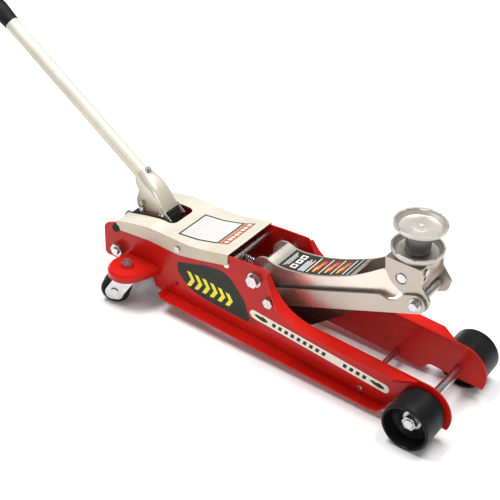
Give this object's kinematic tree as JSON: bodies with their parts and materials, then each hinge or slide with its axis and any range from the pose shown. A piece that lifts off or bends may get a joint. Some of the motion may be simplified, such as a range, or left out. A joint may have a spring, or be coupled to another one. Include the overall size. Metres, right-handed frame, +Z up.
{
  "type": "hydraulic floor jack",
  "caption": "Low trolley jack: red pressed side plates, lift arm with levelling links and stepped saddle, hydraulic unit, pump handle, front wheels and rear casters.",
  "frame": {"origin": "on the floor, in the symmetry plane, at the middle of the overall length", "axes": "+X forward towards the saddle, +Y left, +Z up"},
  "size_m": [1.0415, 0.246, 0.468],
  "materials": {
    "red_paint": "gloss red enamel",
    "cream_paint": "satin ivory enamel",
    "arm_coat": "satin champagne coat",
    "saddle_coat": "dark satin coat",
    "zinc": "bright zinc plate",
    "polished_steel": "ground steel",
    "unit_paint": "black painted casting",
    "spring_steel": "oiled spring wire",
    "black_plastic": "moulded nylon",
    "black_wheel": "black painted steel wheel",
    "grip_rubber": "moulded grip"
  },
  "bodies": {
    "chassis": {"side_plate_right": "red_paint", "side_plate_left": "red_paint", "cover_plate": "cream_paint", "cover_screws": "zinc", "rear_plugs": "black_plastic", "upper_tie_rod": "polished_steel", "lower_tie_rod": "polished_steel", "rear_tie_rod": "polished_steel", "rear_tie_nuts": "zinc", "front_axle": "polished_steel", "axle_washers": "zinc", "axle_nuts": "zinc", "caster_bracket_right": "red_paint", "caster_bracket_left": "red_paint", "king_bolts": "zinc", "arm_shaft": "polished_steel", "arm_bolts": "zinc", "arm_bolt_washers": "zinc", "link_bolts": "zinc", "link_bushes": "zinc", "pump_block": "unit_paint", "reservoir_tube": "unit_paint", "cylinder_tube": "polished_steel", "gland_nut": "polished_steel", "filler_plug": "black_plastic", "pump_spring": "spring_steel"},
    "arm": {"lift_arm": "arm_coat", "lever_pin": "polished_steel", "ram_roller": "polished_steel", "arm_tip_pin": "polished_steel"},
    "links": {"link_right": "arm_coat", "link_left": "arm_coat"},
    "carrier": {"saddle_carrier": "arm_coat", "carrier_screw": "zinc", "link_tip_rod": "polished_steel", "link_rod_rings": "zinc", "lower_saddle": "arm_coat"},
    "saddle": {"saddle_post": "saddle_coat", "upper_saddle": "arm_coat"},
    "ram": {"ram": "polished_steel", "ram_head": "polished_steel"},
    "plunger": {"pump_plunger": "polished_steel"},
    "valve": {"release_valve": "zinc"},
    "socket": {"handle_socket": "cream_paint", "set_screw": "spring_steel", "socket_pin": "polished_steel", "roller_pin": "polished_steel", "pump_roller": "polished_steel", "cotter_pins": "zinc"},
    "handle": {"handle_tube": "cream_paint", "handle_grip": "grip_rubber"},
    "wheel_right": {"front_wheel_right": "black_wheel"},
    "wheel_left": {"front_wheel_left": "black_wheel"},
    "fork_right": {"caster_fork_right": "zinc", "caster_axle_right": "zinc"},
    "fork_left": {"caster_fork_left": "zinc", "caster_axle_left": "zinc"},
    "roller_right": {"caster_wheel_right": "black_plastic"},
    "roller_left": {"caster_wheel_left": "black_plastic"}
  },
  "joints": [
    {"name": "lift", "type": "hinge", "parent": "chassis", "child": "arm", "pos_m": [0.1571, 0, 0.136], "axis": [0, -1, 0], "range_deg": [-40, 36]},
    {"name": "link_swing", "type": "hinge", "parent": "chassis", "child": "links", "pos_m": [0.1871, 0, 0.105], "axis": [0, -1, 0], "range_deg": [-40.5, 36.5]},
    {"name": "saddle_level", "type": "hinge", "parent": "arm", "child": "carrier", "pos_m": [0.3986, 0, 0.235], "axis": [0, -1, 0], "range_deg": [-36.5, 40.5]},
    {"name": "saddle_turn", "type": "hinge", "parent": "carrier", "child": "saddle", "pos_m": [0.4021, 0, 0.266], "axis": [0, 0, 1], "continuous": true},
    {"name": "ram_slide", "type": "slide", "parent": "chassis", "child": "ram", "axis": [1, 0, 0], "range_m": [-0.0361, 0.0325]},
    {"name": "pump_stroke", "type": "hinge", "parent": "chassis", "child": "socket", "pos_m": [-0.0649, 0, 0.144], "axis": [0, 1, 0], "range_deg": [0, 40]},
    {"name": "plunger_slide", "type": "slide", "parent": "chassis", "child": "plunger", "axis": [0, 0, 1], "range_m": [0, 0.0275], "deforming": ["pump_spring"]},
    {"name": "handle_twist", "type": "hinge", "parent": "socket", "child": "handle", "pos_m": [-0.1019, 0, 0.1831], "axis": [-0.8329, 0, 0.5534], "range_deg": [0, 180]},
    {"name": "release_turn", "type": "hinge", "parent": "chassis", "child": "valve", "pos_m": [-0.1389, 0, 0.097], "axis": [-1, 0, 0], "range_deg": [0, 180]},
    {"name": "wheel_right_spin", "type": "hinge", "parent": "chassis", "child": "wheel_right", "pos_m": [0.4731, -0.085, 0.04], "axis": [0, 1, 0], "continuous": true},
    {"name": "wheel_left_spin", "type": "hinge", "parent": "chassis", "child": "wheel_left", "pos_m": [0.4731, 0.085, 0.04], "axis": [0, 1, 0], "continuous": true},
    {"name": "caster_right_swivel", "type": "hinge", "parent": "chassis", "child": "fork_right", "pos_m": [-0.0839, -0.09, 0.06], "axis": [0, 0, 1], "continuous": true},
    {"name": "caster_right_roll", "type": "hinge", "parent": "fork_right", "child": "roller_right", "pos_m": [-0.10188, -0.09877, 0.025], "axis": [-0.4384, 0.8988, 0], "continuous": true},
    {"name": "caster_left_swivel", "type": "hinge", "parent": "chassis", "child": "fork_left", "pos_m": [-0.0839, 0.09, 0.06], "axis": [0, 0, 1], "continuous": true},
    {"name": "caster_left_roll", "type": "hinge", "parent": "fork_left", "child": "roller_left", "pos_m": [-0.10188, 0.09877, 0.025], "axis": [0.4384, 0.8988, 0], "continuous": true}
  ],
  "couplings": [
    {"joint": "link_swing", "follows": "lift", "ratio": 1},
    {"joint": "saddle_level", "follows": "lift", "ratio": -1},
    {"joint": "ram_slide", "follows": "lift", "m_per_rad": 0.051056},
    {"joint": "plunger_slide", "follows": "pump_stroke", "m_per_rad": 0.03867},
    {"joint": "release_turn", "follows": "handle_twist", "ratio": 1}
  ]
}
